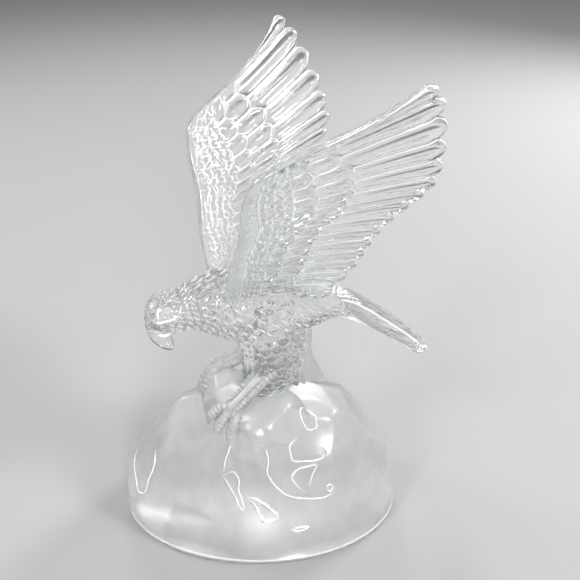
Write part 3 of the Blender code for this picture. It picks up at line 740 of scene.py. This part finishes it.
def limb(name, sections, grid, surface, relief=np.ones_like, reference=(0.0, 0.0, 1.0)):
    """A round limb through X, Y, Z and radius; relief takes the share along it and scales the radius."""
    rows, sides = grid
    knots = even_knots(sections)
    share = np.linspace(0, 1, rows + 1)
    values = knot_values(knots, share)
    heading = heading_at(knots, share, 3)
    across = unit(np.cross(heading, reference))
    over = np.cross(across, heading)
    turn = 2 * math.pi * np.arange(sides) / sides
    radius = (values[:, 3] * relief(share))[:, None]
    rings = (values[:, None, :3] + across[:, None] * (np.cos(turn) * radius)[..., None]
             + over[:, None] * (np.sin(turn) * radius)[..., None])
    return loft(name, from_bird(rings), surface)


def bead_relief(number, height, power, end, share):
    """Beads round a limb, as far as the share where they end."""
    beads = np.abs(np.sin(math.pi * share * number)) ** power
    return 1 + height * (beads - BEAD_MIDDLE) * (share < end)


def leg_relief(share):
    """The smooth core of a leg, swollen a little at its joints."""
    return LEG_CORE + LEG_SWELL * np.cos(2 * math.pi * share)


def make_ropes(name, leg):
    """A rope of beads down each side of a leg."""
    table = np.array(leg)
    heading = unit(np.gradient(table[:, :3], axis=0))
    across = unit(np.cross(heading, (0.0, 0.0, 1.0)))
    front = np.cross(across, heading)
    beads = partial(bead_relief, *ROPE_BEADS)
    ropes = []
    for side in (-1, 1):
        line = table[:, :3] + table[:, 3:] * (side * ROPE_OUT * across + ROPE_FRONT * front)
        sections = [(*point, ROPE_RADIUS) for point in line]
        ropes.append(limb(f"{name}_{side + 1}", sections, ROPE_GRID, SATIN, beads))
    return ropes


def face_line(path, hand, thickness):
    """Sections of a limb that follows Y and Z along one side of the head."""
    table = np.array(BODY_SECTIONS)
    sections = []
    for y, z in path:
        middle, half_height, half_width = (np.interp(y, table[:, 0], table[:, i]) for i in (1, 2, 3))
        side = half_width * math.sqrt(max(1 - ((z - middle) / half_height) ** 2, FLATTEST_SIDE))
        sections.append((hand * side, y, z, thickness))
    return sections


def make_toes(side, toes):
    """The three forward toes of a foot."""
    beads = partial(bead_relief, *TOE_BEADS)
    return [limb(f"{side}_toe_{i + 1}", toe, TOE_GRID, SATIN, beads) for i, toe in enumerate(toes)]


def lump(name, shape, grid, surface, facets=()):
    """An egg-shaped solid given by its middle and half sizes in bird units, with flat facets."""
    rows, sides = grid
    middle, half = np.array(shape[:3]), np.array(shape[3:])
    rise = math.pi * (np.arange(1, rows) / rows - 0.5)[:, None]
    turn = (2 * math.pi * np.arange(sides) / sides)[None]
    form = unit_dome(turn + 0 * rise, rise + 0 * turn)
    size = np.ones(form.shape[:2])
    for facet_turn, facet_rise, distance in facets:
        facing = form @ unit_dome(math.radians(facet_turn), math.radians(facet_rise))
        cut = distance / np.maximum(facing, LEAST_FACING)
        size = soft_least(size, cut, FACET_SOFTNESS)
    return loft(name, from_bird(middle + half * form * size[..., None]), surface)


def unit_dome(turn, rise):
    """Direction on a unit dome."""
    return np.stack([np.cos(rise) * np.cos(turn), np.cos(rise) * np.sin(turn), np.sin(rise)], -1)


def make_face(hand):
    """Eye, brow, lines, beak edge and nostril on one side of the head; hand is 1 on the left."""
    mirror = np.array((hand, 1.0, 1.0, 1.0))
    eye = (hand * EYE_PLACE[0], *EYE_PLACE[1:], EYE_RADIUS, EYE_RADIUS, EYE_RADIUS)
    parts = [
        lump(f"eye_{hand + 1}", eye, EYE_GRID, SATIN),
        limb(f"brow_{hand + 1}", mirror * BROW, BROW_GRID, CLEAR),
    ]
    # The face lines and the beak's edge take the white line finish, a painted highlight
    for number, (thickness, path) in enumerate(FACE_LINES):
        line = face_line(path, hand, thickness)
        parts.append(limb(f"face_{hand + 1}_{number}", line, FACE_LINE_GRID, LINE_HIGHLIGHT, reference=SIDEWAYS))
    parts.append(limb(f"edge_{hand + 1}", mirror * BEAK_EDGE, BEAK_EDGE_GRID, LINE_HIGHLIGHT))
    parts.append(lump(f"nostril_{hand + 1}", (hand * NOSTRIL[0], *NOSTRIL[1:]), NOSTRIL_GRID, CLEAR))
    return parts


def raised(turn, rise):
    """Points of the dome with its full shoulder and the rock's rises added, in metres."""
    here = unit_dome(turn, rise)
    point = here * np.array((ROCK_LENGTH / 2, ROCK_DEPTH / 2, ROCK_HEIGHT))
    point = point * (1 + ROCK_SHOULDER * np.sin(2 * rise) ** 2)[..., None]
    for at_turn, at_rise, spread, height in ROCK_RISES:
        angle = np.arccos(np.clip(here @ unit_dome(np.radians(at_turn), np.radians(at_rise)), -1, 1))
        length = np.linalg.norm(point, axis=-1)
        point = point * (1 + height / length * np.exp(-(angle / spread) ** 2))[..., None]
    return point


def all_scoops():
    """The balls that strike the scoops in the front, those round the back, and the chips inside them."""
    scoops = list(ROCK_SCOOPS)
    for number in range(BACK_SCOOP_COUNT):
        turn = BACK_TURN + number * BACK_SPAN / BACK_SCOOP_COUNT
        rise = BACK_RISES[number % len(BACK_RISES)]
        radius = BACK_RADII[number % len(BACK_RADII)]
        scoops.append((turn, rise, radius, BACK_HOLLOWS[number % len(BACK_HOLLOWS)]))
    chips = list(ROCK_CHIPS)
    for number in range(MORE_CHIPS):
        turn = CHIP_FIRST_TURN + number * GOLDEN_TURN
        rise = CHIP_LOWEST + CHIP_SPAN * ((number * GOLDEN_SHARE) % 1)
        chips.append((turn, rise, CHIP_RADII[number % len(CHIP_RADII)], CHIP_HOLLOW))
    balls = strike(scoops, ROCK_ROUNDNESS, [])
    return balls + strike(chips, CHIP_ROUNDNESS, balls)


def strike(scoops, roundness, struck):
    """Centre and radius of the ball that strikes each scoop, in a rock struck by other balls before."""
    balls = []
    for turn, rise, radius, hollow in scoops:
        point = raised(np.radians(turn), np.radians(rise))
        point = point * struck_share(point, struck)[..., None]
        ball = radius ** 2 / (2 * hollow)
        depth = hollow + radius ** 2 / (2 * roundness)
        balls.append((point + rock_outward(point) * (ball - depth), ball))
    return balls


def rock_outward(points):
    """Directions out of the rock's plain form."""
    outward = points * np.array((4 / ROCK_LENGTH ** 2, 4 / ROCK_DEPTH ** 2, 1 / ROCK_HEIGHT ** 2))
    return unit(outward)


def struck_share(points, balls):
    """How far out from the rock's heart its struck surface lies, as a share, softened at the edges."""
    square = (points ** 2).sum(-1)
    softness = SCOOP_SOFTNESS / np.sqrt(square)
    share = np.ones(points.shape[:-1])
    for centre, ball in balls:
        reach = points @ centre
        inside = reach ** 2 - square * (centre @ centre - ball ** 2)
        cut = (reach - np.sqrt(np.maximum(inside, 0))) / square
        cut = np.where((reach > 0) & (inside > 0), np.maximum(cut, DEEPEST_SHARE), 2.0)
        share = soft_least(share, cut, softness)
    return share


def rock_points(turn, rise, balls):
    """Points of the struck rock with its lobes, before it is turned under the bird."""
    points = raised(turn, rise)
    points = points * struck_share(points, balls)[..., None]
    for at_turn, at_rise, spread, height in ROCK_LOBES:
        there = unit_dome(np.radians(at_turn), np.radians(at_rise))
        angle = np.arccos(np.clip(unit_dome(turn, rise) @ there, -1, 1))
        bulge = np.sqrt(np.clip(1 - (angle / spread) ** 2, 0, 1))
        points = points + rock_outward(points) * (height * bulge)[..., None]
    return points


def make_lip(name, path, balls):
    """A thin rounded lip along a path on the rock, white as a painted highlight."""
    knots = even_knots(np.radians(path).tolist())
    share = np.linspace(0, 1, LIP_STEPS * (len(path) - 1) + 1)
    turn, rise = knot_values(knots, share).T
    points = rock_points(turn, rise, balls)
    heading = np.gradient(points, axis=0)
    outward = rock_outward(points)
    points = points + LIP_LIFT * outward
    across = unit(np.cross(heading, outward))
    size = LIP_RADIUS * np.clip(LIP_TAPER * np.minimum(share, 1 - share), LIP_END, 1)[:, None, None]
    angle = (2 * math.pi * np.arange(LIP_SIDES) / LIP_SIDES)[None, :, None]
    rings = points[:, None] + size * (np.cos(angle) * outward[:, None] + np.sin(angle) * across[:, None])
    return loft(name, rings @ np.array(Matrix.Rotation(ROCK_TURN, 3, "Z")).T, LINE_HIGHLIGHT)


def make_rock(balls):
    """The struck dome with its plain rim, standing flat on Z = 0."""
    turn = 2 * math.pi * np.arange(ROCK_COLUMNS) / ROCK_COLUMNS
    rim = unit_dome(turn, 0 * turn) * np.array((ROCK_LENGTH / 2, ROCK_DEPTH / 2, 0.0))
    length = np.linalg.norm(rim, axis=1)[:, None]
    rings = []
    for lift, inset in RIM_PROFILE:
        rings.append(rim * (1 - inset / length) + np.array((0.0, 0.0, lift)))
    lowest = math.asin(2 * RIM_HEIGHT / ROCK_HEIGHT)
    for rise in lowest + (ROCK_TOP_RISE - lowest) * np.arange(ROCK_ROWS) / (ROCK_ROWS - 1):
        rings.append(rock_points(turn, rise + 0 * turn, balls))
    turned = np.array(Matrix.Rotation(ROCK_TURN, 3, "Z"))
    piece = loft("eagle_glass", np.stack(rings) @ turned.T, SATIN)
    # Painted highlight: the rim's ledge, a polished band, takes the white edge finish
    paint_highlight(piece, (len(rings) - 1, ROCK_COLUMNS), len(RIM_PROFILE) - 2)
    return piece


def tail_points(across, along, side, relief):
    """Points of the tail fan; across runs from -1 to 1, side is 1 on top and -1 below."""
    y, z, half_width, droop, half = np.moveaxis(knot_values(TAIL_LINE, along), -1, 0)
    heading = heading_at(TAIL_LINE, along, 2)
    lift = side * (half + relief) - droop * across ** 2
    return np.stack([across * half_width, y - heading[..., 1] * lift, z + heading[..., 0] * lift], -1)


def make_tail():
    """The tail, a fan of long fluted feathers with rounded ends."""
    columns = TAIL_FEATHERS * TAIL_COLUMNS
    place = np.clip(np.arange(columns + 1) / columns, EDGE_INSET, 1 - EDGE_INSET)
    across = (2 * place - 1)[:, None]
    feather = 2 * (place * TAIL_FEATHERS - np.floor(place * TAIL_FEATHERS))[:, None] - 1
    length = 1 - TAIL_SHORTENING * across ** 2 - TAIL_NOTCH * tip_drop(feather)
    along = np.array(TAIL_ROWS)[None] * length
    inland = (length - along) * TAIL_HALF_FEATHERS
    relief = TAIL_RELIEF * feather_form(feather, inland) * np.clip(along * TAIL_RELIEF_START, 0, 1)
    nose = 1 - TIP_NOSE * smooth_step(TIP_NOSE_START, 1.0, along / length)
    across = across + 0 * along
    front = tail_points(across, along, 1, relief * nose)
    back = tail_points(across, along, -1, relief * nose)
    piece = sheet("tail", from_bird(front), from_bird(back), CLEAR)
    # Painted highlights on the feather borders and the tail's end
    lines = np.abs(feather[:-1] + 1 / TAIL_COLUMNS) > BORDER_LINE
    lines = lines | (np.arange(len(TAIL_ROWS) - 1) == len(TAIL_ROWS) - 2)
    paint_highlight(piece, (columns, len(TAIL_ROWS) - 1, 2), lines)
    return piece


def keep_largest_shell(mesh):
    """Delete the crumbs that a join can leave beside the casting's one shell."""
    form = bmesh.new()
    form.from_mesh(mesh)
    shells = []
    for first in form.verts:
        if first.tag:
            continue
        first.tag = True
        shell = [first]
        for point in shell:
            for edge in point.link_edges:
                other = edge.other_vert(point)
                if not other.tag:
                    other.tag = True
                    shell.append(other)
        shells.append(shell)
    shells.sort(key=len)
    crumbs = [point for shell in shells[:-1] for point in shell]
    bmesh.ops.delete(form, geom=crumbs, context="VERTS")
    form.to_mesh(mesh)
    form.free()


def fuse(main, pieces):
    """Join the pieces to the main mesh as one casting and remove them."""
    for piece in pieces:
        union = main.modifiers.new("join", "BOOLEAN")
        union.operation = "UNION"
        union.solver = "MANIFOLD"
        union.object = piece
    bpy.context.view_layer.update()
    joined = bpy.data.meshes.new_from_object(main.evaluated_get(bpy.context.evaluated_depsgraph_get()))
    main.modifiers.clear()
    main.data = joined
    for piece in pieces:
        bpy.data.objects.remove(piece, do_unlink=True)
    keep_largest_shell(joined)
    joined.shade_smooth()


def crystal(name, transmission, scale, detail=2.0):
    """A glass material, its shader and a noise that nothing follows yet."""
    material = bpy.data.materials.new(name)
    material.use_nodes = True
    shader = material.node_tree.nodes["Principled BSDF"]
    shader.inputs["Transmission Weight"].default_value = transmission
    shader.inputs["IOR"].default_value = GLASS_IOR
    noise = material.node_tree.nodes.new("ShaderNodeTexNoise")
    noise.inputs["Scale"].default_value = scale
    noise.inputs["Detail"].default_value = detail
    return material, shader, noise


def follow(material, noise, low, high, target):
    """Make a shader's socket follow the noise between two values."""
    spread = material.node_tree.nodes.new("ShaderNodeMapRange")
    spread.inputs["To Min"].default_value = low
    spread.inputs["To Max"].default_value = high
    material.node_tree.links.new(noise.outputs["Fac"], spread.inputs["Value"])
    material.node_tree.links.new(spread.outputs["Result"], target)


def clear_glass():
    """Polished lead crystal with a faint ripple."""
    material, shader, ripple = crystal("clear_crystal", transmission=0.94, scale=120.0, detail=3.0)
    shader.inputs["Base Color"].default_value = (0.93, 0.95, 0.945, 1.0)
    follow(material, ripple, 0.015, 0.06, shader.inputs["Roughness"])
    bump = material.node_tree.nodes.new("ShaderNodeBump")
    bump.inputs["Strength"].default_value = 0.12
    bump.inputs["Distance"].default_value = 0.0004
    material.node_tree.links.new(ripple.outputs["Fac"], bump.inputs["Height"])
    material.node_tree.links.new(bump.outputs["Normal"], shader.inputs["Normal"])
    return material


def satin_glass():
    """Milky glass under a polished skin."""
    material, shader, cloud = crystal("satin_crystal", transmission=0.72, scale=22.0)
    shader.inputs["Specular IOR Level"].default_value = 0.2
    shader.inputs["Coat Weight"].default_value = 0.15
    shader.inputs["Coat Roughness"].default_value = 0.18
    follow(material, cloud, 0.29, 0.33, shader.inputs["Roughness"])
    milk = material.node_tree.nodes.new("ShaderNodeValToRGB")
    thin, thick = milk.color_ramp.elements
    thin.position = 0.35
    thin.color = (0.62, 0.635, 0.63, 1)
    thick.position = 0.65
    thick.color = (0.70, 0.71, 0.705, 1)
    material.node_tree.links.new(cloud.outputs["Fac"], milk.inputs["Fac"])
    material.node_tree.links.new(milk.outputs["Color"], shader.inputs["Base Color"])
    return material


def painted_highlight_glass(name, transmission, roughness, grain, tones):
    """A white frosted finish that paints highlights: on thin lips and lines, or on the bright edges of the
    feathers.
    """
    material, shader, noise = crystal(name, transmission, grain)
    follow(material, noise, *tones, shader.inputs["Base Color"])
    shader.inputs["Roughness"].default_value = roughness
    return material


def add_camera():
    """The photograph's camera."""
    sin_turn, cos_turn = math.sin(CAMERA_TURN), math.cos(CAMERA_TURN)
    right = Vector((sin_turn, cos_turn, 0.0))
    level = Vector((-cos_turn, sin_turn, 0.0))
    forward = level * math.cos(CAMERA_PITCH) - Vector((0.0, 0.0, math.sin(CAMERA_PITCH)))
    up = right.cross(forward)
    camera = add_object("camera", bpy.data.cameras.new("camera"))
    axes = Matrix((right, up, -forward)).transposed().to_4x4()
    camera.matrix_world = Matrix.Translation(CAMERA_PLACE) @ axes
    camera.data.sensor_width = SENSOR_WIDTH
    camera.data.lens = FOCAL_PIXELS / FRAME_PIXELS * SENSOR_WIDTH
    camera.data.clip_start = CLIP_START
    bpy.context.scene.camera = camera


def area_light(name, place, power):
    """A soft square light that looks at the figurine."""
    light = add_object(name, bpy.data.lights.new(name, "AREA"))
    light.data.size = LIGHT_SIZE
    light.data.energy = power
    light.location = place
    light.rotation_euler = (Vector(LIGHT_TARGET) - Vector(place)).to_track_quat("-Z", "Y").to_euler()


def add_floor():
    """A wide pale floor."""
    mesh = bpy.data.meshes.new("floor")
    signs = ((-1, -1), (1, -1), (1, 1), (-1, 1))
    mesh.from_pydata([(x * FLOOR_REACH, y * FLOOR_REACH, -FLOOR_GAP) for x, y in signs], [], [(0, 1, 2, 3)])
    paint = bpy.data.materials.new("pale_floor")
    paint.use_nodes = True
    shader = paint.node_tree.nodes["Principled BSDF"]
    shader.inputs["Base Color"].default_value = FLOOR_COLOUR
    shader.inputs["Roughness"].default_value = FLOOR_ROUGHNESS
    shader.inputs["Specular IOR Level"].default_value = FLOOR_SHINE
    mesh.materials.append(paint)
    add_object("floor", mesh)


def add_room():
    """A pale room, darker towards its horizon, and soft lights."""
    world = bpy.data.worlds.new("room")
    world.use_nodes = True
    bpy.context.scene.world = world
    nodes, links = world.node_tree.nodes, world.node_tree.links
    direction = nodes.new("ShaderNodeTexCoord")
    split = nodes.new("ShaderNodeSeparateXYZ")
    ramp = nodes.new("ShaderNodeValToRGB")
    stops = ramp.color_ramp.elements
    stops.remove(stops[0])
    for position, grey, blue in ROOM_TONES:
        stops.new(position).color = (grey, grey, blue, 1)
    links.new(direction.outputs["Generated"], split.inputs["Vector"])
    links.new(split.outputs["Z"], ramp.inputs["Fac"])
    links.new(ramp.outputs["Color"], nodes["Background"].inputs["Color"])
    nodes["Background"].inputs["Strength"].default_value = ROOM_STRENGTH
    for number, power in enumerate(LIGHT_POWERS):
        turn = math.radians(LIGHT_TURN + number * 360 / len(LIGHT_POWERS))
        place = (LIGHT_REACH * math.cos(turn), LIGHT_REACH * math.sin(turn), LIGHT_HEIGHTS[number % 2])
        area_light(f"soft_{number + 1}", place, power)


bpy.context.scene.view_settings.view_transform = "Standard"
bpy.context.scene.cycles.max_bounces = 28
bpy.context.scene.cycles.glossy_bounces = 16
bpy.context.scene.cycles.transmission_bounces = 28
GLASS = (
    satin_glass(),
    clear_glass(),
    # White finishes that paint highlights: thin lines and lips, then the bright edges of feathers, scales
    # and rim
    painted_highlight_glass("line_highlight_crystal", transmission=0.15, roughness=0.25, grain=300.0, tones=(0.9, 1.0)),
    painted_highlight_glass("painted_highlight_crystal", transmission=0.48, roughness=0.12, grain=200.0, tones=(0.84, 0.96)),
)
add_camera()
add_floor()
add_room()

balls = all_scoops()
eagle = make_rock(balls)
pieces = [make_lip(f"lip_{number + 1}", path, balls) for number, path in enumerate(ROCK_LIPS)]
pieces += [
    lump("stump", STUMP, STUMP_GRID, SATIN, STUMP_FACETS),
    make_belly(),
    scaled_loft("left_thigh", LEFT_THIGH, down_points, LEFT_THIGH_SCALES, BODY_RELIEF),
    scaled_loft("right_thigh", RIGHT_THIGH, down_points, RIGHT_THIGH_SCALES, BODY_RELIEF),
    scaled_loft("body", BODY_SECTIONS, spine_points, BODY_SCALES, BODY_RELIEF),
    scaled_loft("beak", BEAK_SECTIONS, spine_points, BEAK_SCALES, BEAK_RELIEF),
    make_tail(),
    make_wing("left_wing", 1),
    make_wing("right_wing", -1),
    limb("left_leg", LEFT_LEG, LEG_GRID, SATIN, leg_relief),
    limb("right_leg", RIGHT_LEG, LEG_GRID, SATIN, leg_relief),
]
pieces += make_ropes("left_rope", LEFT_LEG) + make_ropes("right_rope", RIGHT_LEG)
pieces += make_toes("left", LEFT_TOES) + make_toes("right", RIGHT_TOES)
pieces += make_face(-1) + make_face(1)
pieces.append(limb("lower_beak", LOWER_BEAK, LOWER_BEAK_GRID, CLEAR))
pieces.append(limb("beak_rim", BEAK_RIM, BEAK_RIM_GRID, CLEAR, reference=SIDEWAYS))
fuse(eagle, pieces)
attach(eagle, "root")
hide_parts("eagle_figurine")
